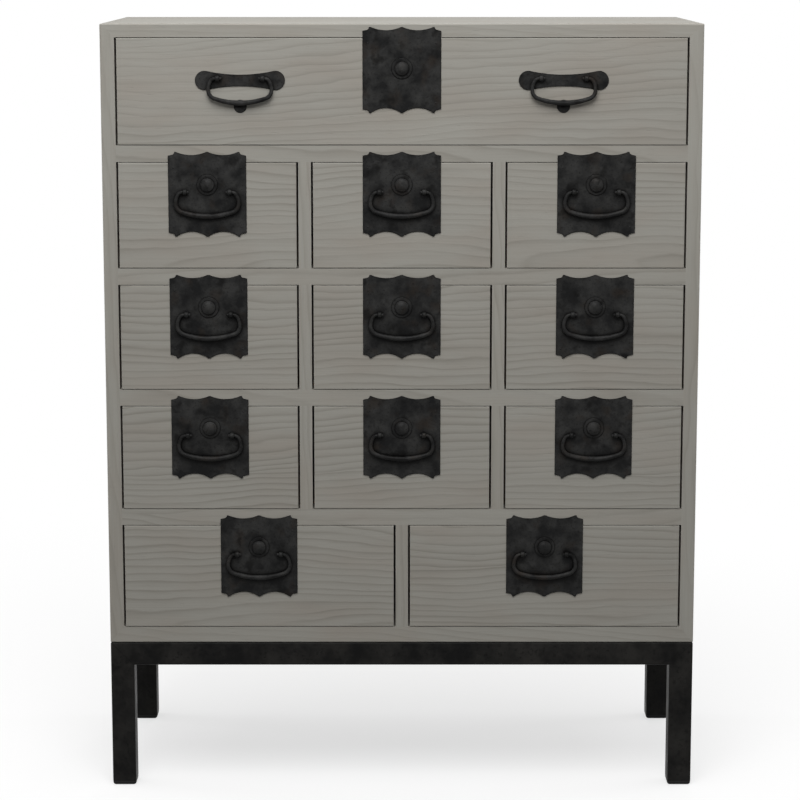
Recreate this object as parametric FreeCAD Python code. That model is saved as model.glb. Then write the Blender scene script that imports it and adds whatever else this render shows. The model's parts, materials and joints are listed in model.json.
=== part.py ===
"""A tansu chest of twelve drawers on a square-tube steel stand.

The frame is in millimetres with +Z up. The origin is on the floor, under the middle of the
whole chest, ironwork included. The drawers face -Y and slide out along -Y.
"""
import FreeCAD, Part
import math
import os

Vector = FreeCAD.Vector

FRONT = (0, -1, 0)
BACK = (0, 1, 0)
DOWN = (0, 0, -1)

# How closely an edge has to follow an axis, and how near a plane a point counts as in it
parallel = 0.99
flatness = 1e-6

# Case boards
case_width = 943.0
case_depth = 400.0
side_thickness = 22.5
top_thickness = 21.0
bottom_thickness = 26.0
case_edge_radius = 2.0
opening_height = 168.5
row_names = ["top", "upper", "middle", "lower", "bottom"]
drawers_in_row = [1, 3, 3, 3, 2]
column_names = {1: [""], 2: ["left_", "right_"], 3: ["left_", "centre_", "right_"]}

# Rails, dividers and runners inside the case
rail_height = 26.0
front_rail_depth = 45.0
back_rail_depth = 30.0
tenon_length = 12.0
tenon_shoulder = 5.0
divider_thickness = 20.0
divider_tenon_length = 8.0
joinery_clearance = 0.1
side_runner_width = 24.0
bearer_ledge = 22.0
guide_height = 12.0

# Back panel
back_thickness = 6.0
back_lap = 10.0
back_clearance = 0.5

# Drawer fronts and boxes
front_thickness = 20.0
front_proud = 0.4
front_edge_radius = 1.0
front_side_gap = 3.0
front_top_gap = 1.2
front_bottom_gap = 0.8
runner_clearance = 0.3
drawer_side_thickness = 12.0
drawer_side_top_gap = 4.0
drawer_rear_gap = 12.0
drawer_back_thickness = 12.0
drawer_back_setback = 6.0
drawer_back_drop = 6.0
drawer_bottom_thickness = 6.0
drawer_bottom_lift = 8.0
groove_depth = 6.0
dado_depth = 5.0
groove_clearance = 0.2
tail_count = 3
tail_lap = 13.0
tail_tip_height = 34.0
tail_slope = 1.0 / 6.0

# Lock plates
iron_thickness = 1.6
plate_width = 123.0
plate_height = 133.5
plate_rise = 16.0
plate_ear_inset = 11.5
plate_ear_height = 6.0
plate_ledge = 5.6
plate_ledge_rise = 1.3
plate_tip_half_width = 1.3
plate_cove = 0.9
plate_top_scallop = 5.0
plate_bottom_scallop = 7.8
iron_bevel = 0.4

# Knob and washer on each lock plate
top_knob_drop = 64.2
knob_radius = 10.8
knob_face_radius = 8.8
knob_height = 8.8
knob_crown = 2.6
knob_neck_radius = 8.4
knob_neck_height = 3.2
knob_rim_height = 0.8
knob_shank_radius = 3.0
knob_shank_length = 11.0
washer_radius = 16.2
washer_height = 1.9
washer_round = 0.9
washer_clearance = 0.2
washer_bail_gap = 6.1

# Nails that hold the lock plates
nail_head_radius = 1.7
nail_head_height = 0.5
nail_shank_radius = 0.9
nail_shank_length = 11.0
nail_side_inset = 8.0
nail_top_inset = 25.0
nail_bottom_inset = 15.0

# Bails and the split cotters that carry them
bail_drop_on_plate = 63.2
bail_half_width = 49.5
bail_depth = 38.0
bail_end_radius = 2.4
bail_middle_radius = 4.2
bail_shoulder_radius = 8.0
bail_shoulder_turn = 60.0
bail_arm_radius = 27.4
bail_base_radius = 120.0
bail_tip_length = 3.2
bail_tip_bevel = 0.6
hinge_clearance = 0.06
eye_width = 6.8
eye_wall = 1.9
eye_round = 2.2
eye_round_limit = 0.45
eye_gap = 0.4
eye_side_clearance = 0.3
cotter_shank_radius = 2.2
cotter_leg_width = 3.0
cotter_leg_thickness = 1.6
cotter_leg_length = 24.0
hole_clearance = 0.1

# Pull handles on the top drawer
handle_spacing = 506.0
handle_drop = 66.8
handle_plate_half_length = 70.4
handle_lobe_radius = 14.9
handle_waist_half_height = 8.9
handle_axis_rise = 3.0
stud_below_bail = 5.5
stud_radius = 10.3
stud_skirt = 0.7
stud_clearance = 0.5
stud_shank_radius = 2.0
stud_shank_length = 10.0

# Steel stand
stand_height = 240.0
tube_size = 38.0
tube_wall = 2.0
tube_corner_radius = 3.0
tube_least_inner_radius = 0.5
lug_size = 34.0
lug_thickness = 4.0
lug_inset = 180.0
glide_thickness = 7.0
glide_corner_radius = 5.0
glide_edge_share = 0.9
glide_plug_length = 25.0
glide_plug_clearance = 0.2

# Screws that hold the case to the stand and the back to the case
screw_shank_radius = 2.1
screw_length = 20.0
screw_head_radius = 4.2
screw_head_height = 2.6
screw_hole_clearance = 0.3
back_screws_up_each_side = 5
back_screws_along_each_end = 4
back_screw_inset = 60.0

# Case levels and planes
rows = len(drawers_in_row)
inner_half = case_width / 2 - side_thickness
case_bottom = stand_height
inner_low = case_bottom + bottom_thickness
inner_high = inner_low + rows * opening_height + (rows - 1) * rail_height
case_top = inner_high + top_thickness

# Inside corners of the stand's tubes
tube_inner_radius = max(tube_corner_radius - tube_wall, tube_least_inner_radius)

# Bail and knob places, from the point that each is fixed by
eye_bore_radius = bail_end_radius + hinge_clearance
eye_radius = eye_bore_radius + eye_wall
shoulder_turn = math.radians(bail_shoulder_turn)
shoulder_out = bail_shoulder_radius * math.sin(shoulder_turn)
shoulder_down = bail_shoulder_radius * (1 - math.cos(shoulder_turn))
arm_out = bail_arm_radius * (1 - math.sin(shoulder_turn))
arm_down = bail_arm_radius * math.cos(shoulder_turn)
bail_start = bail_half_width - shoulder_out - arm_out
eye_centre = bail_start - eye_side_clearance - eye_width / 2
bail_stand_off = max(eye_radius, bail_middle_radius) + eye_gap
knob_above_bail = bail_depth - bail_middle_radius - washer_radius - washer_bail_gap
stud_height = bail_stand_off + iron_thickness - bail_middle_radius - stud_clearance

# Planes from front to back
bail_reach = bail_stand_off + max(eye_radius, bail_middle_radius)
iron_reach = front_proud + iron_thickness + max(bail_reach, knob_height, washer_height)
front_plane = iron_reach - (case_depth + iron_reach) / 2
back_plane = front_plane + case_depth
back_inner_plane = back_plane - back_thickness
drawer_face = front_plane - front_proud
drawer_front_back = drawer_face + front_thickness
drawer_rear = back_inner_plane - drawer_rear_gap
iron_face = drawer_face - iron_thickness
bail_axis_y = iron_face - bail_stand_off


def box(x0, x1, y0, y1, z0, z1):
    """A box between two opposite corners."""
    return Part.makeBox(x1 - x0, y1 - y0, z1 - z0, Vector(x0, y0, z0))


def rod(radius, start, direction, length):
    """A round rod from a point along a direction."""
    return Part.makeCylinder(radius, length, Vector(*start), Vector(*direction))


def fuse(first, *others):
    """One solid from several that overlap or touch."""
    return first.multiFuse(list(others)).removeSplitter().Solids[0]


def loop(place, start, steps):
    """A closed wire. Each step is an end point, or a middle and an end point for an arc."""
    edges = []
    here = place(*start)
    for step in list(steps) + [start]:
        is_arc = isinstance(step[0], tuple)
        there = place(*(step[1] if is_arc else step))
        if is_arc:
            edges.append(Part.Arc(here, place(*step[0]), there).toShape())
        elif here != there:
            edges.append(Part.makeLine(here, there))
        here = there
    return Part.Wire(edges)


def extruded(wire, direction):
    """A solid from a flat wire, pushed along a direction."""
    return Part.Face(wire).extrude(Vector(*direction))


def prism(points, y0, y1):
    """A prism along Y over a polygon of (x, z) points."""
    return extruded(loop(lambda x, z: Vector(x, y0, z), points[0], points[1:]), (0, y1 - y0, 0))


def turned(start, steps, base, facing):
    """A solid turned about the line through base: its profile is (radius, height towards facing)."""
    wire = loop(lambda radius, height: Vector(radius, -height, 0), start, steps)
    solid = Part.Face(wire).revolve(Vector(0, 0, 0), Vector(0, 1, 0), 360)
    turn = FreeCAD.Rotation(Vector(*FRONT), Vector(*facing))
    return solid.transformed(FreeCAD.Placement(Vector(*base), turn).toMatrix())


def cap(radius, low, high):
    """The step of a turned profile that domes over from (radius, low) to the middle at high."""
    rise = high - low
    ball = (radius ** 2 + rise ** 2) / (2 * rise)
    half = math.asin(radius / ball) / 2
    return ((ball * math.sin(half), high - ball * (1 - math.cos(half))), (0, high))


def headed_pin(shank_radius, shank_length, head_steps, base, facing):
    """A pin with a turned head that bears at base, its shank on the far side of facing."""
    steps = [(shank_radius, -shank_length), (shank_radius, 0)] + head_steps
    return turned((0, -shank_length), steps, base, facing)


def edges_along(solid, axis):
    """The straight edges of a solid that run along X, Y or Z."""
    return [edge for edge in solid.Edges if abs(edge.tangentAt(edge.FirstParameter)[axis]) > parallel]


def edges_at(solid, axis, value):
    """The edges of a solid that lie in a plane square to X, Y or Z."""
    return [
        edge for edge in solid.Edges
        if all(abs(vertex.Point[axis] - value) < flatness for vertex in edge.Vertexes)
    ]


def spread(count, low, high):
    """Evenly spaced places from low to high, both included."""
    step = (high - low) / (count - 1)
    return [low + index * step for index in range(count)]


def save(name, solids):
    """Write one node, which may hold several separate solids."""
    Part.makeCompound(solids).exportStep(f"parts/{name}.step")


# Places in the case

def row_floor(row):
    """The height of the surface that a row of drawers stands on; row 0 is the top one."""
    return inner_high - (row + 1) * opening_height - row * rail_height


def divider_places(row):
    """The x of the middle of each divider in a row."""
    count = drawers_in_row[row]
    opening = (2 * inner_half - (count - 1) * divider_thickness) / count
    first = opening + divider_thickness / 2 - inner_half
    return [first + index * (opening + divider_thickness) for index in range(count - 1)]


def row_openings(row):
    """The left and right limits of each drawer opening in a row."""
    limits = [-inner_half]
    for place in divider_places(row):
        limits += [place - divider_thickness / 2, place + divider_thickness / 2]
    limits.append(inner_half)
    return list(zip(limits[0::2], limits[1::2]))


def rail_spans():
    """The front and back planes and the underside of every rail."""
    front = (front_plane, front_plane + front_rail_depth)
    back = (back_inner_plane - back_rail_depth, back_inner_plane)
    levels = [row_floor(row) - rail_height for row in range(rows - 1)]
    return [(y0, y1, level) for level in levels for y0, y1 in (front, back)]


def lug_places():
    """The middle of each lug of the stand, and the way it points from its rail."""
    half = case_width / 2 - tube_size - lug_size / 2
    low = front_plane + tube_size + lug_size / 2
    high = back_plane - tube_size - lug_size / 2
    along = case_width / 2 - lug_inset
    middle = (front_plane + back_plane) / 2
    corners = [(x, y) for x in (-along, along) for y in (low, high)]
    return corners + [(-half, middle), (half, middle)]


def screw_places():
    """The bearing point of each screw head, and the way the head faces."""
    half = inner_half + back_lap / 2
    low = inner_low - back_lap / 2
    high = inner_high + back_lap / 2
    up_sides = spread(back_screws_up_each_side, low + back_screw_inset, high - back_screw_inset)
    along_ends = spread(back_screws_along_each_end, back_screw_inset - half, half - back_screw_inset)
    places = [((x, y, stand_height - lug_thickness), DOWN) for x, y in lug_places()]
    places += [((x, back_plane, z), BACK) for x in (-half, half) for z in up_sides]
    places += [((x, back_plane, z), BACK) for x in along_ends for z in (low, high)]
    return places


# The case

def case_boards():
    """The top, bottom and two sides, mitred where they meet."""
    outer = case_width / 2
    block = box(-outer, outer, front_plane, back_plane, case_bottom, case_top)
    block = block.makeFillet(case_edge_radius, block.Edges)
    rebate = box(-inner_half - back_lap, inner_half + back_lap, back_inner_plane, back_plane,
                 inner_low - back_lap, inner_high + back_lap)
    cuts = [rebate] + rail_mortises() + divider_mortises() + screw_holes(0.0)
    top_left, top_right = (-outer, case_top), (outer, case_top)
    low_left, low_right = (-outer, case_bottom), (outer, case_bottom)
    in_top_left, in_top_right = (-inner_half, inner_high), (inner_half, inner_high)
    in_low_left, in_low_right = (-inner_half, inner_low), (inner_half, inner_low)
    outlines = {
        "top_panel": [top_left, top_right, in_top_right, in_top_left],
        "bottom_panel": [low_left, low_right, in_low_right, in_low_left],
        "left_side": [low_left, top_left, in_top_left, in_low_left],
        "right_side": [low_right, top_right, in_top_right, in_low_right],
    }
    return {
        name: block.common(prism(points, front_plane, back_plane)).cut(cuts)
        for name, points in outlines.items()
    }


def back_panel():
    """The thin back, let into the rebate flush with the boards' back edges."""
    half = inner_half + back_lap - back_clearance
    panel = box(-half, half, back_inner_plane, back_plane,
                inner_low - back_lap + back_clearance, inner_high + back_lap - back_clearance)
    return panel.cut(screw_holes(screw_hole_clearance))


def rail_tenons(y0, y1, bottom, clearance):
    """The two end tenons of a rail, or the mortises for them with a clearance."""
    inset = tenon_shoulder - clearance
    reach = tenon_length + clearance
    tenon = box(inner_half, inner_half + reach, y0 + inset, y1 - inset,
                bottom + inset, bottom + rail_height - inset)
    return [tenon, tenon.mirror(Vector(0, 0, 0), Vector(1, 0, 0))]


def rail_mortises():
    """The mortises of every rail, to cut from the sides."""
    return [
        mortise for y0, y1, bottom in rail_spans()
        for mortise in rail_tenons(y0, y1, bottom, joinery_clearance)
    ]


def divider_tenon(place, floor, clearance):
    """The tenons of a divider as one bar through it, or the mortises for them with a clearance."""
    inset = tenon_shoulder - clearance
    reach = divider_tenon_length + clearance
    half = divider_thickness / 2 - inset
    return box(place - half, place + half, front_plane + inset, front_plane + front_rail_depth - inset,
               floor - reach, floor + opening_height + reach)


def divider_mortises():
    """The mortises of every divider, to cut from the rails and boards."""
    return [
        divider_tenon(place, row_floor(row), joinery_clearance)
        for row in range(rows) for place in divider_places(row)
    ]


def rails():
    """The front and back rails between the rows, tenoned into the sides."""
    mortises = divider_mortises()
    made = []
    for y0, y1, bottom in rail_spans():
        bar = box(-inner_half, inner_half, y0, y1, bottom, bottom + rail_height)
        made.append(fuse(bar, *rail_tenons(y0, y1, bottom, 0.0)).cut(mortises))
    return made


def dividers():
    """The short uprights between neighbouring drawers, tenoned into the rails."""
    made = []
    for row in range(rows):
        floor = row_floor(row)
        for place in divider_places(row):
            post = box(place - divider_thickness / 2, place + divider_thickness / 2,
                       front_plane, front_plane + front_rail_depth, floor, floor + opening_height)
            made.append(fuse(post, divider_tenon(place, floor, 0.0)))
    return made


def runners():
    """Side runners and middle bearers between the rails, with guides behind the dividers."""
    y0 = front_plane + front_rail_depth
    y1 = back_inner_plane - back_rail_depth
    bearer_half = divider_thickness / 2 + bearer_ledge
    guide_half = divider_thickness / 2
    made = []
    for row in range(rows - 1):
        top = row_floor(row)
        spans = [(-inner_half, side_runner_width - inner_half),
                 (inner_half - side_runner_width, inner_half)]
        for place in sorted(set(divider_places(row) + divider_places(row + 1))):
            spans.append((place - bearer_half, place + bearer_half))
        made += [box(x0, x1, y0, y1, top - rail_height, top) for x0, x1 in spans]
    for row in range(rows):
        floor = row_floor(row)
        for place in divider_places(row):
            made.append(box(place - guide_half, place + guide_half, y0, y1, floor, floor + guide_height))
    return made


# Screws

def screw(base, facing):
    """A round-head screw whose head bears at base."""
    head = [(screw_head_radius, 0), cap(screw_head_radius, 0, screw_head_height)]
    return headed_pin(screw_shank_radius, screw_length, head, base, facing)


def screw_holes(clearance):
    """A hole for every screw, from its head's bearing point inwards."""
    return [
        rod(screw_shank_radius + clearance, base, [-part for part in facing], screw_length)
        for base, facing in screw_places()
    ]


# The stand

def tube(corners, along):
    """A square tube open at both ends, between corners, running along X, Y or Z."""
    inside = list(corners)
    for axis in range(3):
        if axis != along:
            inside[2 * axis] += tube_wall
            inside[2 * axis + 1] -= tube_wall
    outer = box(*corners)
    inner = box(*inside)
    outer = outer.makeFillet(tube_corner_radius, edges_along(outer, along))
    return outer.cut(inner.makeFillet(tube_inner_radius, edges_along(inner, along)))


def stand_end_frame(y0):
    """Two legs and a rail, mitred in one plane, with the outer top corners ground round."""
    y1 = y0 + tube_size
    half = case_width / 2
    rail_low = stand_height - tube_size
    round_off = tube_corner_radius
    pieces = [tube((-half, half, y0, y1, rail_low, stand_height), 0)]
    for side in (-1, 1):
        outer = side * half
        inner = side * (half - tube_size)
        above = prism([(outer, stand_height), (inner, stand_height), (inner, rail_low)], y0, y1)
        below = prism([(outer, stand_height), (outer, rail_low), (inner, rail_low)], y0, y1)
        corner = box(min(outer, outer - side * round_off), max(outer, outer - side * round_off),
                     y0, y1, stand_height - round_off, stand_height)
        corner = corner.cut(rod(round_off, (outer - side * round_off, y0, stand_height - round_off),
                                BACK, tube_size))
        leg = tube((min(outer, inner), max(outer, inner), y0, y1, glide_thickness, stand_height), 2)
        pieces[0] = pieces[0].cut([below, corner])
        pieces.append(leg.cut([above, corner]))
    return pieces


def stand_side_rails():
    """The two rails that join the front frame of the stand to the back one."""
    half = case_width / 2
    y0 = front_plane + tube_size
    y1 = back_plane - tube_size
    low = stand_height - tube_size
    spans = [(-half, tube_size - half), (half - tube_size, half)]
    return [tube((x0, x1, y0, y1, low, stand_height), 1) for x0, x1 in spans]


def stand_lugs():
    """The flat lugs inside the stand's top that the case is screwed down to."""
    half = lug_size / 2
    holes = screw_holes(screw_hole_clearance)
    return [
        box(x - half, x + half, y - half, y + half, stand_height - lug_thickness, stand_height).cut(holes)
        for x, y in lug_places()
    ]


def stand_frame():
    """The welded stand, flush with the case all round."""
    front = stand_end_frame(front_plane)
    back = stand_end_frame(back_plane - tube_size)
    return front + back + stand_side_rails() + stand_lugs()


def leg_glide(x0, y0):
    """A foot pad, rounded underneath, with a plug that fills the end of a leg."""
    edge_radius = glide_edge_share * min(glide_corner_radius, glide_thickness)
    pad = box(x0, x0 + tube_size, y0, y0 + tube_size, 0, glide_thickness)
    pad = pad.makeFillet(glide_corner_radius, edges_along(pad, 2))
    pad = pad.makeFillet(edge_radius, edges_at(pad, 2, 0))
    inset = tube_wall + glide_plug_clearance
    plug = box(x0 + inset, x0 + tube_size - inset, y0 + inset, y0 + tube_size - inset,
               glide_thickness, glide_thickness + glide_plug_length)
    return fuse(pad, plug.makeFillet(tube_inner_radius, edges_along(plug, 2)))


def leg_glides():
    """One glide under each leg."""
    half = case_width / 2
    return [
        leg_glide(x0, y0)
        for x0 in (-half, half - tube_size) for y0 in (front_plane, back_plane - tube_size)
    ]


# The drawers

def tails(x0, x1, low, high):
    """The dovetails at the front end of a drawer side."""
    pitch = (high - low) / tail_count
    tip = tail_tip_height / 2
    root = tip - tail_lap * tail_slope
    tip_y = drawer_front_back - tail_lap
    made = []
    for index in range(tail_count):
        middle = low + (index + 0.5) * pitch
        wire = loop(lambda y, z: Vector(x0, y, z), (drawer_front_back, middle - root),
                    [(tip_y, middle - tip), (tip_y, middle + tip), (drawer_front_back, middle + root)])
        made.append(extruded(wire, (x1 - x0, 0, 0)))
    return made


def drawer_wood(x0, x1, floor, holes):
    """The front, and the box of sides, back and bottom, of the drawer in one opening."""
    left = x0 + front_side_gap
    right = x1 - front_side_gap
    side_low = floor + runner_clearance
    side_high = floor + opening_height - drawer_side_top_gap
    panel_low = side_low + drawer_bottom_lift
    panel_high = panel_low + drawer_bottom_thickness
    back_face = drawer_rear - drawer_back_setback
    in_left = left + drawer_side_thickness
    in_right = right - drawer_side_thickness

    front = box(left, right, drawer_face, drawer_front_back,
                floor + front_bottom_gap, floor + opening_height - front_top_gap)
    front = front.makeFillet(front_edge_radius, edges_at(front, 1, drawer_face))
    front_groove = box(in_left, in_right, drawer_front_back - groove_depth, drawer_front_back,
                       panel_low, panel_high + groove_clearance)
    sockets = tails(left, in_left, side_low, side_high) + tails(in_right, right, side_low, side_high)
    front = front.cut(sockets + [front_groove] + holes)

    groove = box(in_left - groove_depth, in_right + groove_depth, drawer_front_back, drawer_rear,
                 panel_low, panel_high + groove_clearance)
    dado = box(in_left - dado_depth, in_right + dado_depth, back_face - drawer_back_thickness, back_face,
               panel_high, side_high)
    sides = []
    for outer, inner in ((left, in_left), (in_right, right)):
        board = box(outer, inner, drawer_front_back, drawer_rear, side_low, side_high)
        board = fuse(board, *tails(outer, inner, side_low, side_high))
        sides.append(board.cut([groove, dado]))

    reach = groove_depth - groove_clearance
    back = box(in_left - dado_depth, in_right + dado_depth, back_face - drawer_back_thickness, back_face,
               panel_high, side_high - drawer_back_drop)
    panel = box(in_left - reach, in_right + reach, drawer_front_back, drawer_rear, panel_low, panel_high)
    tongue = box(in_left + groove_clearance, in_right - groove_clearance,
                 drawer_front_back - reach, drawer_front_back, panel_low, panel_high)
    return front, sides + [back, fuse(panel, tongue)]


# The ironwork

def iron_hole(x, z, radius, depth):
    """A hole from the face of the ironwork into the drawer front."""
    return rod(radius + hole_clearance, (x, iron_face, z), BACK, depth)


def cut_sheet(place, start, steps, holes):
    """A flat piece of sheet iron on the drawer face, with a bevelled front edge."""
    sheet = extruded(loop(place, start, steps), (0, -iron_thickness, 0))
    sheet = sheet.makeChamfer(iron_bevel, edges_at(sheet, 1, iron_face))
    return sheet.cut(holes)


def lock_plate(x, top, holes):
    """A scalloped lock plate with an ear near each corner and a point in the middle of each end."""
    side = plate_width / 2
    ear = side - plate_ear_inset
    ledge = side - plate_ledge
    blunt = plate_tip_half_width
    right = []
    for end, height, scallop in ((1, 0, plate_top_scallop), (-1, -plate_height, plate_bottom_scallop)):
        corner = height - end * plate_ear_height
        shoulder = corner + end * plate_ledge_rise
        cove = ((ear + blunt + ledge) / 2 - plate_cove, (height + shoulder) / 2 - end * plate_cove)
        right.append([
            (blunt, height),
            ((ear / 2, height - end * scallop), (ear - blunt, height)),
            (ear + blunt, height),
            (cove, (ledge, shoulder)),
            (side, corner),
        ])
    upper, lower = right
    steps = upper[1:] + reverse_steps(lower) + mirror_steps(lower) + reverse_steps(mirror_steps(upper))
    return cut_sheet(lambda u, v: Vector(x + u, drawer_face, top + v), upper[0], steps, holes)


def reverse_steps(steps):
    """The same run of points and arcs, taken from its far end."""
    ends = [step[1] if isinstance(step[0], tuple) else step for step in steps]
    middles = [step[0] if isinstance(step[0], tuple) else None for step in steps]
    back = [ends[-1]]
    for index in range(len(steps) - 1, 0, -1):
        middle = middles[index]
        back.append((middle, ends[index - 1]) if middle else ends[index - 1])
    return back


def mirror_steps(steps):
    """The same run on the other side of the middle line."""
    def flip(point):
        return (-point[0], point[1])
    return [tuple(flip(p) for p in step) if isinstance(step[0], tuple) else flip(step) for step in steps]


def handle_plate(x, z, holes):
    """A long backplate with a round lobe at each end and a drawn-in waist."""
    lobe = handle_lobe_radius
    waist = handle_waist_half_height
    centre = handle_plate_half_length - lobe
    sweep = (centre ** 2 + waist ** 2 - lobe ** 2) / (2 * (lobe - waist))
    share = lobe / (lobe + sweep)
    join_x = centre * (1 - share)
    join_z = (sweep + waist) * share
    steps = [
        ((0, waist), (join_x, join_z)),
        ((centre + lobe, 0), (join_x, -join_z)),
        ((0, -waist), (-join_x, -join_z)),
        ((-centre - lobe, 0), (-join_x, join_z)),
    ]
    return cut_sheet(lambda u, v: Vector(x + u, drawer_face, z + v), (-join_x, join_z), steps, holes)


def knob(x, z):
    """A round knob with a domed face and a neck, on a shank that goes into the drawer front."""
    diagonal = math.sqrt(0.5)
    low = knob_neck_height + knob_rim_height
    high = knob_height - knob_crown
    bend = (knob_face_radius + (knob_radius - knob_face_radius) * diagonal, low + (high - low) * diagonal)
    head = [
        (knob_neck_radius, 0),
        (knob_neck_radius, knob_neck_height),
        (knob_radius, knob_neck_height),
        (knob_radius, low),
        (bend, (knob_face_radius, high)),
        cap(knob_face_radius, high, knob_height),
    ]
    return headed_pin(knob_shank_radius, knob_shank_length, head, (x, iron_face, z), FRONT)


def washer(x, z):
    """The raised ring round the neck of a knob."""
    inner = knob_neck_radius + washer_clearance
    ease = washer_round * (1 - math.sqrt(0.5))
    steps = [
        (washer_radius, 0),
        (washer_radius, washer_height - washer_round),
        ((washer_radius - ease, washer_height - ease), (washer_radius - washer_round, washer_height)),
        (inner, washer_height),
    ]
    return turned((inner, 0), steps, (x, iron_face, z), FRONT)


def nail(x, z):
    """A small round-head nail through a plate."""
    head = [(nail_head_radius, 0), cap(nail_head_radius, 0, nail_head_height)]
    return headed_pin(nail_shank_radius, nail_shank_length, head, (x, iron_face, z), FRONT)


def stud(x, z):
    """The low dome that a pull handle comes to rest against."""
    head = [(stud_radius, 0), (stud_radius, stud_skirt), cap(stud_radius, stud_skirt, stud_height)]
    return headed_pin(stud_shank_radius, stud_shank_length, head, (x, drawer_face, z), FRONT)


def cotter(x, z):
    """A split cotter: an eye for the end of a bail, and legs clinched behind the drawer front."""
    half = eye_width / 2
    eye = rod(eye_radius, (x - half, bail_axis_y, z), (1, 0, 0), eye_width)
    rims = edges_at(eye, 0, x - half) + edges_at(eye, 0, x + half)
    eye = eye.makeFillet(min(eye_round, eye_round_limit * min(eye_width, eye_radius)), rims)
    clinch = drawer_front_back + cotter_leg_thickness
    shank = rod(cotter_shank_radius, (x, bail_axis_y, z), BACK, clinch - bail_axis_y)
    legs = box(x - cotter_leg_width / 2, x + cotter_leg_width / 2, drawer_front_back, clinch,
               z - cotter_leg_length / 2, z + cotter_leg_length / 2)
    bore = rod(eye_bore_radius, (x - half, bail_axis_y, z), (1, 0, 0), eye_width)
    return fuse(eye, shank, legs).cut(bore).Solids[0]


def bail_mount(x, z):
    """The two cotters of a bail whose axis is at x and z, and the holes for them."""
    places = (x - eye_centre, x + eye_centre)
    cotters = [cotter(place, z) for place in places]
    depth = iron_thickness + front_thickness
    return cotters, [iron_hole(place, z, cotter_shank_radius, depth) for place in places]


def lock_ironwork(x, top, knob_drop, bail_drop):
    """A lock plate with its knob, washer and nails, and its cotters if it carries a bail."""
    side = plate_width / 2 - nail_side_inset
    nails = [(x + u, top + v) for u in (-side, side)
             for v in (-nail_top_inset, nail_bottom_inset - plate_height)]
    knob_z = top - knob_drop
    holes = [iron_hole(u, v, nail_shank_radius, nail_shank_length) for u, v in nails]
    holes.append(iron_hole(x, knob_z, knob_shank_radius, knob_shank_length))
    cotters = []
    if bail_drop is not None:
        cotters, cotter_holes = bail_mount(x, top - bail_drop)
        holes += cotter_holes
    plate = lock_plate(x, top, holes)
    return [plate, washer(x, knob_z), knob(x, knob_z)] + [nail(u, v) for u, v in nails] + cotters, holes


def handle_ironwork(x, z):
    """The backplate, stop stud and cotters of one pull handle; z is the bail's axis."""
    cotters, holes = bail_mount(x, z)
    stud_z = z - bail_depth - stud_below_bail
    plate = handle_plate(x, z - handle_axis_rise, holes)
    holes.append(rod(stud_shank_radius + hole_clearance, (x, drawer_face, stud_z), BACK, stud_shank_length))
    return [plate, stud(x, stud_z)] + cotters, holes


def bail_half():
    """The right half of a bail, from its straight end in the eye to the middle of its bar."""
    width = bail_half_width
    shoulder = bail_shoulder_radius
    arm = bail_arm_radius
    base = bail_base_radius
    widest = shoulder_down + arm_down
    rise = bail_depth - widest
    corner = (base ** 2 - (base - rise) ** 2 - width ** 2) / (2 * (base - width))
    lean = math.asin((width - corner) / (base - corner))

    def around(centre_x, centre_z, radius, angle):
        return Vector(centre_x + radius * math.sin(angle), bail_axis_y, centre_z - radius * math.cos(angle))

    top = math.pi
    turned_down = math.pi - shoulder_turn
    side = math.pi / 2
    arcs = [
        ((bail_start, -shoulder), shoulder, top, turned_down),
        ((width - arm, -widest), arm, turned_down, side),
        ((width - corner, -widest), corner, side, lean),
        ((0, base - bail_depth), base, lean, 0.0),
    ]
    path = Part.Wire([
        Part.Arc(*[around(*centre, radius, angle) for angle in (begin, (begin + end) / 2, end)]).toShape()
        for centre, radius, begin, end in arcs
    ])
    start = Vector(bail_start, bail_axis_y, 0)
    middle = Vector(0, bail_axis_y, -bail_depth)
    sections = [
        Part.Wire(Part.makeCircle(bail_end_radius, start, Vector(1, 0, 0))),
        Part.Wire(Part.makeCircle(bail_middle_radius, middle, Vector(-1, 0, 0))),
    ]
    bar = path.makePipeShell(sections, True, False)
    tip = eye_centre - eye_width / 2 - bail_tip_length
    straight = rod(bail_end_radius, (tip, bail_axis_y, 0), (1, 0, 0), bail_start - tip)
    return bar, straight.makeChamfer(bail_tip_bevel, edges_at(straight, 0, tip))


def bail():
    """A bail hanging from an axis at x = 0, z = 0."""
    right = bail_half()
    left = [piece.mirror(Vector(0, 0, 0), Vector(1, 0, 0)) for piece in right]
    return fuse(right[0], right[1], *left)


def moved(solid, x, z):
    """A copy of a solid moved in the plane of the drawer fronts."""
    copy = solid.copy()
    copy.translate(Vector(x, 0, z))
    return copy


def drawer_nodes():
    """Every node of every drawer: its front, box, ironwork and bails."""
    nodes = {}
    hanging_bail = bail()
    for row, row_name in enumerate(row_names):
        floor = row_floor(row)
        plate_top = floor + opening_height + plate_rise
        for column, (x0, x1) in zip(column_names[drawers_in_row[row]], row_openings(row)):
            name = f"{row_name}_{column}drawer"
            x = (x0 + x1) / 2
            if row == 0:
                iron, holes = lock_ironwork(x, plate_top, top_knob_drop, None)
                axis_z = floor + opening_height - handle_drop + handle_axis_rise
                for side_name, offset in (("left", -handle_spacing / 2), ("right", handle_spacing / 2)):
                    more_iron, more_holes = handle_ironwork(x + offset, axis_z)
                    iron += more_iron
                    holes += more_holes
                    nodes[f"{name}_{side_name}_bail"] = [moved(hanging_bail, x + offset, axis_z)]
            else:
                knob_drop = bail_drop_on_plate - knob_above_bail
                iron, holes = lock_ironwork(x, plate_top, knob_drop, bail_drop_on_plate)
                nodes[f"{name}_bail"] = [moved(hanging_bail, x, plate_top - bail_drop_on_plate)]
            front, box_solids = drawer_wood(x0, x1, floor, holes)
            nodes[f"{name}_front"] = [front]
            nodes[f"{name}_box"] = box_solids
            nodes[f"{name}_ironwork"] = iron
    return nodes


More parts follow.
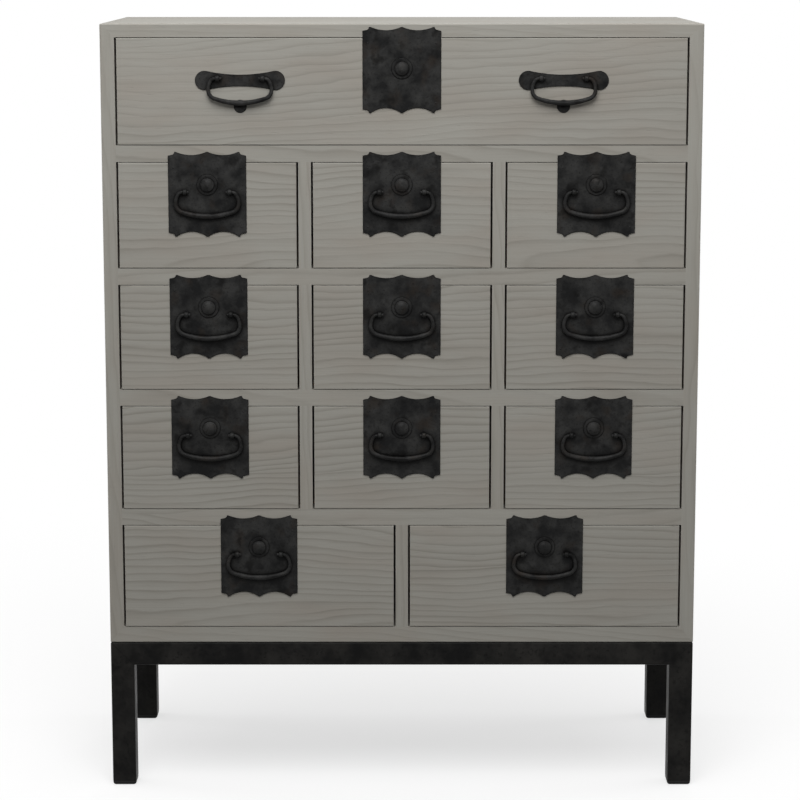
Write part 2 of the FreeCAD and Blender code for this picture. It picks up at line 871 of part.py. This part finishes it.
def case_nodes():
    """Every node that stays still."""
    nodes = {name: [board] for name, board in case_boards().items()}
    nodes["back_panel"] = [back_panel()]
    nodes["drawer_rails"] = rails()
    nodes["drawer_dividers"] = dividers()
    nodes["drawer_runners"] = runners()
    nodes["stand_frame"] = stand_frame()
    nodes["leg_glides"] = leg_glides()
    nodes["case_screws"] = [screw(base, facing) for base, facing in screw_places()]
    return nodes


def main():
    """Build every node and write it."""
    os.makedirs("parts", exist_ok=True)
    for name, solids in {**case_nodes(), **drawer_nodes()}.items():
        save(name, solids)


main()
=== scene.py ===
"""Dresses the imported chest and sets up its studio: materials, floor, lights and camera.

Unless said otherwise, lengths are in metres, angles in degrees, power in watts and colours linear.
"""
import json
import math
from collections import namedtuple

import bpy
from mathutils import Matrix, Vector

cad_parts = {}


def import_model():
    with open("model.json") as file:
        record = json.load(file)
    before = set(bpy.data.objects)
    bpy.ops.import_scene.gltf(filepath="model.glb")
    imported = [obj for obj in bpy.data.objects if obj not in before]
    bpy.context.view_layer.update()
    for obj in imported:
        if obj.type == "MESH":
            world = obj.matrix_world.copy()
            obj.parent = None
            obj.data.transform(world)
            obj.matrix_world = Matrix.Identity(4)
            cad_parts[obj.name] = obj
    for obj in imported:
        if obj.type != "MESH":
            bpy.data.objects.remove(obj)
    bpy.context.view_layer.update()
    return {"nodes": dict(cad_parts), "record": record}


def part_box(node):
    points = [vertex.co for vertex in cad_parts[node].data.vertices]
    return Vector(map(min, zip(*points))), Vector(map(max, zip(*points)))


# How a kind of mark shows: the value where it starts, the value where it is full, and its strength then
Mark = namedtuple("Mark", "start full strength")

# The colours of a wood: its early wood, its late wood and its warmer patches
Wood = namedtuple("Wood", "early late warm")
STAINED = Wood(early=(0.330, 0.320, 0.288), late=(0.196, 0.184, 0.158), warm=(0.300, 0.266, 0.229))
UNSTAINED = Wood(early=(0.56, 0.44, 0.30), late=(0.40, 0.28, 0.17), warm=(0.55, 0.38, 0.24))

# Noise in wood: how often it changes in a metre along and across the grain, its detail and its fineness.
# Noise lies round NOISE_MIDDLE.
Grain = namedtuple("Grain", "along across detail fineness")
WAVES = Grain(2.6, 7.0, 3.0, 0.50)
RIPPLES = Grain(14.0, 60.0, 3.0, 0.55)
FIBRES = Grain(9.0, 620.0, 4.0, 0.60)
TICKS = Grain(42.0, 900.0, 2.0, 0.55)
CLOUDS = Grain(3.0, 9.0, 3.0, 0.55)
PATCHES = Grain(5.5, 16.0, 2.0, 0.55)
NOISE_MIDDLE = (0.5, 0.5, 0.5)

# The pith, the centre of a board's rings, lies PITH_DEPTH through the board and PITH_SIDE across it from
# its middle. Boards differ: the pith is up to PITH_SPREAD further across or nearer, and its line slopes by
# up to PITH_SLANT across and PITH_DIVE through the board. The rings are mirrored at PITH_TO_EDGE from it.
PITH_DEPTH = 0.050
PITH_SIDE = 0.14
PITH_SPREAD = 0.06
PITH_SLANT = 0.05
PITH_DIVE = 0.08
PITH_TO_EDGE = 0.17

# The rings: how far apart they are, how far they stray by waves, by uneven years and by ripples, and how
# often in a metre the unevenness of the years changes
RING_SPACING = 0.0115
WAVE_ACROSS = 0.060
WAVE_DEEP = 0.040
YEAR_STRAY = 0.014
YEAR_CHANGES = 38.0
YEAR_DETAIL = 1.0
RIPPLE_STRAY = 0.0040

# Late wood in a ring: it comes slowly, by this power, and ends at once
LATE_RISE = Mark(0.20, 0.86, 1.0)
LATE_FALL = Mark(1.0, 0.88, 1.0)
LATE_POWER = 2.6

# The figure is weaker where the clouds are thin, and close to the pith
FIGURE_CLOUDS = (0.34, 0.62)
FIGURE_LEAST = 0.25
PITH_BAND = 0.02
PITH_FIGURE = 0.4

# Marks on wood, on top of its rings
PATCH_MARK = Mark(0.42, 0.70, 0.55)
FIBRE_MARK = Mark(0.72, 0.30, 0.26)
TICK_MARK = Mark(0.66, 0.76, 0.35)
CLOUD_MARK = Mark(0.30, 0.75, 0.15)

# The surface of wood: raised late wood, sunk fibres and ticks, and a gloss that goes with the fibres
WOOD_RELIEF = 0.00022
RELIEF_STRENGTH = 0.55
LATE_RELIEF = 0.55
FIBRE_RELIEF = 0.6
WOOD_ROUGHNESS = (0.52, 0.66)
FIBRE_RANGE = (0.3, 0.7)
WOOD_SHINE = 0.30

# Each board has a seed. SEED_STEP lies between the seeds of two boards, and SEED_LENGTH is how far a seed
# of 1 moves the noise along. The two turns make a seed into four shifts between -1 and 1, by a sine.
SEED_STEP = 0.37
SEED_LENGTH = 1.7
SEED_TURN = 12.9898
SHIFT_TURN = 78.233

# The directions along, across and through a board, and how strong its figure is
AXES = {
    "top_panel": "XYZ",
    "bottom_panel": "XYZ",
    "left_side": "ZYX",
    "right_side": "ZYX",
    "drawer_dividers": "ZXY",
}
OTHER_AXES = "XZY"
FIGURES = {"top_drawer_front": 0.5, "left_side": 0.4, "right_side": 0.4}
FRONT_FIGURE = 0.72
OTHER_FIGURE = 0.5
DRAWER_SEED = 3.0
DRAWER_FIGURE = 0.7
BACK_SEED = 5.0
BACK_AXES = "ZXY"
BACK_FIGURE = 0.6

# A board of a box faces X or Z where that part of its surface's direction is over this
FACING = 0.5

# A metal or plastic: its colours, its patches in a metre, how deep its dents are, and its surface
# The scale colour is also the colour of the painted shade on edges and in corners
Metal = namedtuple("Metal", "base pale rust scale patches dent roughness shine")
IRON = Metal(
    base=(0.0080, 0.0081, 0.0083),
    pale=(0.0322, 0.0320, 0.0312),
    rust=(0.0230, 0.0178, 0.0140),
    scale=(0.0025, 0.0024, 0.0023),
    patches=34.0,
    dent=0.0009,
    roughness=0.46,
    shine=0.08,
)
STEEL = Metal(
    base=(0.0030, 0.0030, 0.0030),
    pale=(0.0210, 0.0200, 0.0185),
    rust=(0.0030, 0.0030, 0.0030),
    scale=(0.0012, 0.0012, 0.0012),
    patches=18.0,
    dent=0.0004,
    roughness=0.50,
    shine=0.08,
)
PLASTIC = Metal(
    base=(0.012, 0.012, 0.012),
    pale=(0.022, 0.022, 0.022),
    rust=(0.012, 0.012, 0.012),
    scale=(0.012, 0.012, 0.012),
    patches=90.0,
    dent=0.0002,
    roughness=0.55,
    shine=0.15,
)
ZINC = Metal(
    base=(0.55, 0.55, 0.56),
    pale=(0.36, 0.36, 0.37),
    rust=(0.36, 0.36, 0.37),
    scale=(0.36, 0.36, 0.37),
    patches=120.0,
    dent=0.0001,
    roughness=0.40,
    shine=0.5,
)

# Layers of marks on metal, the lowest first. Each has its colour, a shift of its noise, and how fine
# that noise is beside the metal's patches.
Layer = namedtuple("Layer", "colour shift patches detail fineness mark")
LAYERS = {
    "cloud": Layer("pale", (0.0, 0.0, 0.0), 1.0, 4.0, 0.62, Mark(0.36, 0.64, 1.0)),
    "stain": Layer("rust", (3.1, 1.7, 5.3), 0.8, 3.0, 0.55, Mark(0.55, 0.72, 0.7)),
    "speck": Layer("scale", (0.0, 0.0, 0.0), 9.0, 2.0, 0.55, Mark(0.56, 0.72, 0.6)),
    "smudge": Layer("scale", (7.9, 2.3, 4.1), 1.3, 3.0, 0.50, Mark(0.56, 0.68, 0.75)),
}

# Painted shade: darker edges, found by rounding them, and darker corners, creases and undersides, found by
# what is near, where the shine is dimmed as well
EDGE_RADIUS = 0.0022
EDGE_SAMPLES = 4
EDGE_SHADE_MARK = Mark(0.99, 0.86, 0.8)
CORNER_REACH = 0.009
CORNER_SAMPLES = 8
CORNER_SHADE_MARK = Mark(0.92, 0.40, 1.0)
CORNER_SHADE_SHINE = 0.2

# The surface of metal: dents, small rises at the specks, and a gloss that goes with the clouds
DENT_PATCHES = 2.2
DENT_DETAIL = 2.0
SPECK_RELIEF = 0.16
GLOSS_CLOUDS = (0.35, 0.70)
GLOSS_SPREAD = 0.10

# The floor lies just under the feet. Near the chest a part of what is seen is plain white, and far from
# it all of it is. Light that bounces meets a darker floor.
FLOOR_SIZE = 60.0
FLOOR_DROP = 0.0002
FLOOR_COLOUR = (0.86, 0.86, 0.86)
FLOOR_BOUNCE = (0.08, 0.08, 0.08)
FLOOR_NEAR = 0.3
FLOOR_FAR = 2.0
FLOOR_WHITE = 0.60

# The strength of the light from the horizon and from overhead
WORLD_SIDE = 0.15
WORLD_TOP = 0.92

# The lamps: square soft boxes, each with its place, the point it is aimed at, its size and its power
Lamp = namedtuple("Lamp", "name place aim size power")
LAMPS = (
    Lamp("key", (-0.15, -1.8, 3.0), (0.0, 0.0, 1.1), 1.8, 70.0),
    Lamp("left", (-3.2, 0.7, 0.6), (0.0, 0.2, 0.8), 1.1, 34.0),
    Lamp("right", (3.2, 0.7, 0.6), (0.0, 0.2, 0.8), 1.1, 34.0),
    Lamp("back", (0.6, 3.4, 0.6), (0.0, 0.0, 0.8), 1.1, 44.0),
)

# The camera: its distance from the front of the case, its height, its place to the side, its tilt, and
# the shift of its frame as a share of the frame
CAMERA_DISTANCE = 4.0
CAMERA_HEIGHT = 1.348
CAMERA_SIDE = -0.0029
CAMERA_TILT = 9.07
CAMERA_SHIFT = -0.055

# The lens: its focal length in pixels of a frame that is this many pixels wide. The sensor's width is in
# millimetres.
FOCAL_PIXELS = 2548.0
FRAME_PIXELS = 800.0
SENSOR_WIDTH = 36.0


class Graph:
    """The nodes of one material or world, added and joined by short calls."""

    def __init__(self, owner):
        """Start an empty graph in a material or world."""
        self.owner = owner
        owner.use_nodes = True
        self.tree = owner.node_tree
        self.tree.nodes.clear()
        place = self.add("ShaderNodeTexCoord").outputs
        self.point = place["Object"]
        self.direction = place["Generated"]

    def add(self, kind, inputs=None, **settings):
        """Add a node, set its settings, and join or set its inputs."""
        node = self.tree.nodes.new(kind)
        for key, value in settings.items():
            setattr(node, key, value)
        for key, value in (inputs or {}).items():
            if isinstance(value, bpy.types.NodeSocket):
                self.tree.links.new(value, node.inputs[key])
            else:
                node.inputs[key].default_value = value
        return node

    def math(self, operation, first, second=0.0):
        """One number made from one or two others."""
        inputs = {0: first, 1: second}
        return self.add("ShaderNodeMath", inputs, operation=operation).outputs[0]

    def plus(self, total, value, factor):
        """The total and the value times the factor."""
        return self.math("ADD", total, self.math("MULTIPLY", value, factor))

    def vector(self, operation, first, second):
        """One vector made from two others."""
        inputs = {0: first, 1: second}
        return self.add("ShaderNodeVectorMath", inputs, operation=operation).outputs[0]

    def split(self, vector):
        """The three parts of a vector."""
        return self.add("ShaderNodeSeparateXYZ", {0: vector}).outputs

    def join(self, first, second, third=0.0):
        """A vector of three numbers."""
        return self.add("ShaderNodeCombineXYZ", {0: first, 1: second, 2: third}).outputs[0]

    def length(self, vector):
        """How long a vector is."""
        return self.add("ShaderNodeVectorMath", {0: vector}, operation="LENGTH").outputs["Value"]

    def likeness(self, first, second):
        """How alike two directions are: 1 where they are the same."""
        inputs = {0: first, 1: second}
        return self.add("ShaderNodeVectorMath", inputs, operation="DOT_PRODUCT").outputs["Value"]

    def noise(self, point, scale, detail, fineness=0.55):
        """Soft noise, with its number under Fac and its three numbers under Color."""
        inputs = {"Vector": point, "Scale": scale, "Detail": detail, "Roughness": fineness}
        return self.add("ShaderNodeTexNoise", inputs).outputs

    def grain(self, board, kind):
        """Noise that is drawn out along a board."""
        drawn_out = self.vector("MULTIPLY", board, (kind.along, kind.across, kind.across))
        return self.noise(drawn_out, 1.0, kind.detail, kind.fineness)

    def stretch(self, value, low, high, to_low=0.0, to_high=1.0):
        """Map a value from one range to another, held inside the second."""
        inputs = {"Value": value, "From Min": low, "From Max": high, "To Min": to_low, "To Max": to_high}
        return self.add("ShaderNodeMapRange", inputs).outputs["Result"]

    def share(self, value, mark):
        """How much of a mark shows at a value."""
        return self.stretch(value, mark.start, mark.full, 0.0, mark.strength)

    def blend(self, share, first, second):
        """A number between two others."""
        return self.add("ShaderNodeMix", {0: share, 2: first, 3: second}).outputs[0]

    def mix(self, share, first, second):
        """A colour between two others."""
        inputs = {0: share, 6: as_colour(first), 7: as_colour(second)}
        return self.add("ShaderNodeMix", inputs, data_type="RGBA").outputs[2]

    def bump(self, height, distance, strength=1.0, normal=None):
        """A surface direction that shows a height, on top of another such direction if one is given."""
        inputs = {"Height": height, "Distance": distance, "Strength": strength}
        if normal is not None:
            inputs["Normal"] = normal
        return self.add("ShaderNodeBump", inputs).outputs["Normal"]

    def shade(self, **inputs):
        """End the graph in a principled shader."""
        named = {key.replace("_", " "): value for key, value in inputs.items()}
        shader = self.add("ShaderNodeBsdfPrincipled", named)
        self.add("ShaderNodeOutputMaterial", {"Surface": shader.outputs[0]})
        return self.owner

    def seen(self):
        """1 where the camera looks, also by way of a glossy or clear surface, and 0 for other light."""
        path = self.add("ShaderNodeLightPath").outputs
        mirrored = self.math("MAXIMUM", path["Is Glossy Ray"], path["Is Transmission Ray"])
        return self.math("MAXIMUM", path["Is Camera Ray"], mirrored)


def as_colour(value):
    """A colour socket as it is, or three numbers with an alpha of 1."""
    return value if isinstance(value, bpy.types.NodeSocket) else (*value, 1.0)


def grain_of_a_box(graph, place):
    """Grain along Y in boards that face X, and along X in boards that face Y or Z."""
    facing = graph.split(graph.add("ShaderNodeNewGeometry").outputs["Normal"])
    faces_x = graph.math("GREATER_THAN", graph.math("ABSOLUTE", facing["X"]), FACING)
    faces_z = graph.math("GREATER_THAN", graph.math("ABSOLUTE", facing["Z"]), FACING)
    along = graph.blend(faces_x, place["X"], place["Y"])
    across = graph.blend(faces_z, place["Z"], place["Y"])
    deep = graph.blend(faces_x, graph.blend(faces_z, place["Y"], place["Z"]), place["X"])
    return along, across, deep


def growth_rings(graph, board, directions, seed, shift):
    """The share of late wood at a point, and how far the point is across the board from the pith."""
    along, across, deep = directions
    waves = graph.vector("SUBTRACT", graph.grain(board, WAVES)["Color"], NOISE_MIDDLE)
    waves = graph.split(waves)
    side = graph.plus(across, waves[0], WAVE_ACROSS)
    side = graph.plus(side, along, PITH_SLANT * shift[2])
    side = graph.math("ADD", side, PITH_SIDE + PITH_SPREAD * shift[3])
    side = graph.math("PINGPONG", side, PITH_TO_EDGE)
    depth = graph.math("ADD", deep, PITH_DEPTH)
    depth = graph.plus(depth, waves[1], WAVE_DEEP)
    depth = graph.plus(depth, along, PITH_DIVE * shift[1])
    radius = graph.length(graph.join(side, depth))
    years = graph.noise(graph.join(radius, seed), YEAR_CHANGES, YEAR_DETAIL)["Fac"]
    radius = graph.plus(radius, years, YEAR_STRAY)
    radius = graph.plus(radius, graph.grain(board, RIPPLES)["Fac"], RIPPLE_STRAY)
    ring = graph.math("FRACT", graph.math("DIVIDE", radius, RING_SPACING))
    rise = graph.math("POWER", graph.share(ring, LATE_RISE), LATE_POWER)
    late = graph.math("MULTIPLY", rise, graph.share(ring, LATE_FALL))
    return late, side


def wood(name, axes, seed, figure, colours, middle=(0, 0, 0)):
    """Flat-sawn softwood, whose figure is the strength of its rings.

    axes names the directions along, across and through the board, or is box for the boards of a box.
    """
    graph = Graph(bpy.data.materials.new(name))
    place = graph.split(graph.vector("SUBTRACT", graph.point, middle))
    directions = grain_of_a_box(graph, place) if axes == "box" else [place[axis] for axis in axes]
    shift = [math.sin(seed * SEED_TURN + index * SHIFT_TURN) for index in range(4)]
    board = graph.vector("ADD", graph.join(*directions), (seed * SEED_LENGTH, shift[0], shift[1]))

    late, side = growth_rings(graph, board, directions, seed, shift)
    kinds = (FIBRES, TICKS, CLOUDS, PATCHES)
    fibre, tick, cloud, patch = (graph.grain(board, kind)["Fac"] for kind in kinds)

    strength = graph.stretch(cloud, *FIGURE_CLOUDS, FIGURE_LEAST * figure, figure)
    strength = graph.math("MULTIPLY", strength, graph.stretch(side, 0.0, PITH_BAND, PITH_FIGURE, 1.0))
    colour = graph.mix(graph.share(patch, PATCH_MARK), colours.early, colours.warm)
    colour = graph.mix(graph.math("MULTIPLY", late, strength), colour, colours.late)
    colour = graph.mix(graph.share(fibre, FIBRE_MARK), colour, colours.late)
    colour = graph.mix(graph.share(tick, TICK_MARK), colour, colours.late)
    colour = graph.mix(graph.share(cloud, CLOUD_MARK), colour, colours.late)

    relief = graph.math("MULTIPLY", late, LATE_RELIEF)
    relief = graph.plus(relief, fibre, -FIBRE_RELIEF)
    relief = graph.math("SUBTRACT", relief, graph.stretch(tick, TICK_MARK.start, TICK_MARK.full))
    normal = graph.bump(relief, WOOD_RELIEF, RELIEF_STRENGTH)
    roughness = graph.stretch(fibre, *FIBRE_RANGE, *WOOD_ROUGHNESS)
    return graph.shade(
        Base_Color=colour, Roughness=roughness, Normal=normal, Specular_IOR_Level=WOOD_SHINE
    )


def metal(name, look):
    """Layers of clouds, stains, specks and smudges, painted shade on edges and in corners, and shallow
    dents.
    """
    graph = Graph(bpy.data.materials.new(name))
    colour = look.base
    noises = {}
    for kind, layer in LAYERS.items():
        point = graph.vector("ADD", graph.point, layer.shift)
        noises[kind] = graph.noise(point, look.patches * layer.patches, layer.detail, layer.fineness)["Fac"]
        colour = graph.mix(graph.share(noises[kind], layer.mark), colour, getattr(look, layer.colour))

    # Painted shade on edges: the colour turns to the dark scale colour where the surface bends, at rims and
    # in creases
    flat = graph.add("ShaderNodeNewGeometry").outputs["Normal"]
    rounded = graph.add("ShaderNodeBevel", {"Radius": EDGE_RADIUS}, samples=EDGE_SAMPLES)
    edge_shade = graph.likeness(flat, rounded.outputs["Normal"])
    colour = graph.mix(graph.share(edge_shade, EDGE_SHADE_MARK), colour, look.scale)
    # Painted shade in corners, in creases and under parts such as the bails and knobs: darker where much is
    # near
    reach = {"Distance": CORNER_REACH}
    openness = graph.add("ShaderNodeAmbientOcclusion", reach, samples=CORNER_SAMPLES).outputs["AO"]
    corner_shade = graph.share(openness, CORNER_SHADE_MARK)
    colour = graph.mix(corner_shade, colour, look.scale)

    dents = graph.noise(graph.point, look.patches * DENT_PATCHES, DENT_DETAIL)["Fac"]
    normal = graph.bump(dents, look.dent)
    normal = graph.bump(noises["speck"], look.dent * SPECK_RELIEF, normal=normal)
    smooth = look.roughness - GLOSS_SPREAD
    rough = look.roughness + GLOSS_SPREAD
    roughness = graph.stretch(noises["cloud"], *GLOSS_CLOUDS, smooth, rough)
    # The painted corner shade also dims the shine there
    shine = graph.stretch(corner_shade, 0.0, 1.0, look.shine, CORNER_SHADE_SHINE * look.shine)
    return graph.shade(Base_Color=colour, Roughness=roughness, Normal=normal, Specular_IOR_Level=shine)


def board_wood(name, number):
    """The wood of one stained board, with rings of its own."""
    low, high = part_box(name)
    middle = (low + high) / 2
    usual = FRONT_FIGURE if name.endswith("_front") else OTHER_FIGURE
    figure = FIGURES.get(name, usual)
    axes = AXES.get(name, OTHER_AXES)
    return wood(f"{name}_wood", axes, number * SEED_STEP, figure, STAINED, middle)


def dress(frame):
    """Give every node its material."""
    nodes = frame["nodes"]
    slots = {part["node"]: part["material_slot"] for part in frame["record"]["subparts"]}
    shared = {
        "blackened_iron": metal("blackened_iron", IRON),
        "powder_coated_steel": metal("coated_steel", STEEL),
        "glide_plastic": metal("glide_plastic", PLASTIC),
        "zinc_steel": metal("zinc_steel", ZINC),
        "drawer_wood": wood("drawer_wood", "box", DRAWER_SEED, DRAWER_FIGURE, UNSTAINED),
        "back_wood": wood("back_wood", BACK_AXES, BACK_SEED, BACK_FIGURE, STAINED),
    }
    for number, name in enumerate(sorted(nodes)):
        stained = slots[name] == "stained_wood"
        material = board_wood(name, number) if stained else shared[slots[name]]
        materials = nodes[name].data.materials
        materials.clear()
        materials.append(material)


def floor():
    """A pale floor that keeps the shadow, and reads white away from it."""
    bpy.ops.mesh.primitive_plane_add(size=FLOOR_SIZE, location=(0, 0, -FLOOR_DROP))
    plane = bpy.context.object
    plane.name = "floor"
    graph = Graph(bpy.data.materials.new("floor"))
    seen = graph.seen()
    diffuse = graph.add("ShaderNodeBsdfDiffuse", {"Color": graph.mix(seen, FLOOR_BOUNCE, FLOOR_COLOUR)})
    white = graph.add("ShaderNodeEmission", {"Strength": 1.0})
    share = graph.stretch(graph.length(graph.point), FLOOR_NEAR, FLOOR_FAR, FLOOR_WHITE, 1.0)
    share = graph.math("MULTIPLY", share, seen)
    shown = graph.add("ShaderNodeMixShader", {0: share, 1: diffuse.outputs[0], 2: white.outputs[0]})
    graph.add("ShaderNodeOutputMaterial", {"Surface": shown.outputs[0]})
    plane.data.materials.append(graph.owner)


def world():
    """Soft light, most of it from overhead, seen as white."""
    graph = Graph(bpy.data.worlds.new("studio"))
    bpy.context.scene.world = graph.owner
    height = graph.split(graph.direction)["Z"]
    overhead = graph.stretch(height, 0.0, 1.0, WORLD_SIDE, WORLD_TOP)
    strength = graph.stretch(graph.seen(), 0.0, 1.0, overhead, 1.0)
    background = graph.add("ShaderNodeBackground", {"Color": (1, 1, 1, 1), "Strength": strength})
    graph.add("ShaderNodeOutputWorld", {"Surface": background.outputs[0]})


def light(lamp):
    """Hang one lamp. The camera doesn't see it."""
    data = bpy.data.lights.new(lamp.name, "AREA")
    data.size = lamp.size
    data.energy = lamp.power
    made = bpy.data.objects.new(lamp.name, data)
    made.visible_camera = False
    made.location = lamp.place
    toward = Vector(lamp.aim) - Vector(lamp.place)
    made.rotation_euler = toward.to_track_quat("-Z", "Y").to_euler()
    bpy.context.scene.collection.objects.link(made)


def camera():
    """A camera above the top of the chest, tilted down a little."""
    low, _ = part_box("left_side")
    data = bpy.data.cameras.new("camera")
    data.sensor_width = SENSOR_WIDTH
    data.lens = FOCAL_PIXELS / FRAME_PIXELS * SENSOR_WIDTH
    data.shift_y = CAMERA_SHIFT
    made = bpy.data.objects.new("camera", data)
    made.location = (CAMERA_SIDE, low.y - CAMERA_DISTANCE, CAMERA_HEIGHT)
    made.rotation_euler = (math.radians(90.0 - CAMERA_TILT), 0, 0)
    bpy.context.scene.collection.objects.link(made)
    bpy.context.scene.camera = made


def main():
    """Load the chest, dress it, and set up what surrounds it."""
    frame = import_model()
    dress(frame)
    floor()
    world()
    for lamp in LAMPS:
        light(lamp)
    camera()
    bpy.context.scene.view_settings.view_transform = "Standard"


main()
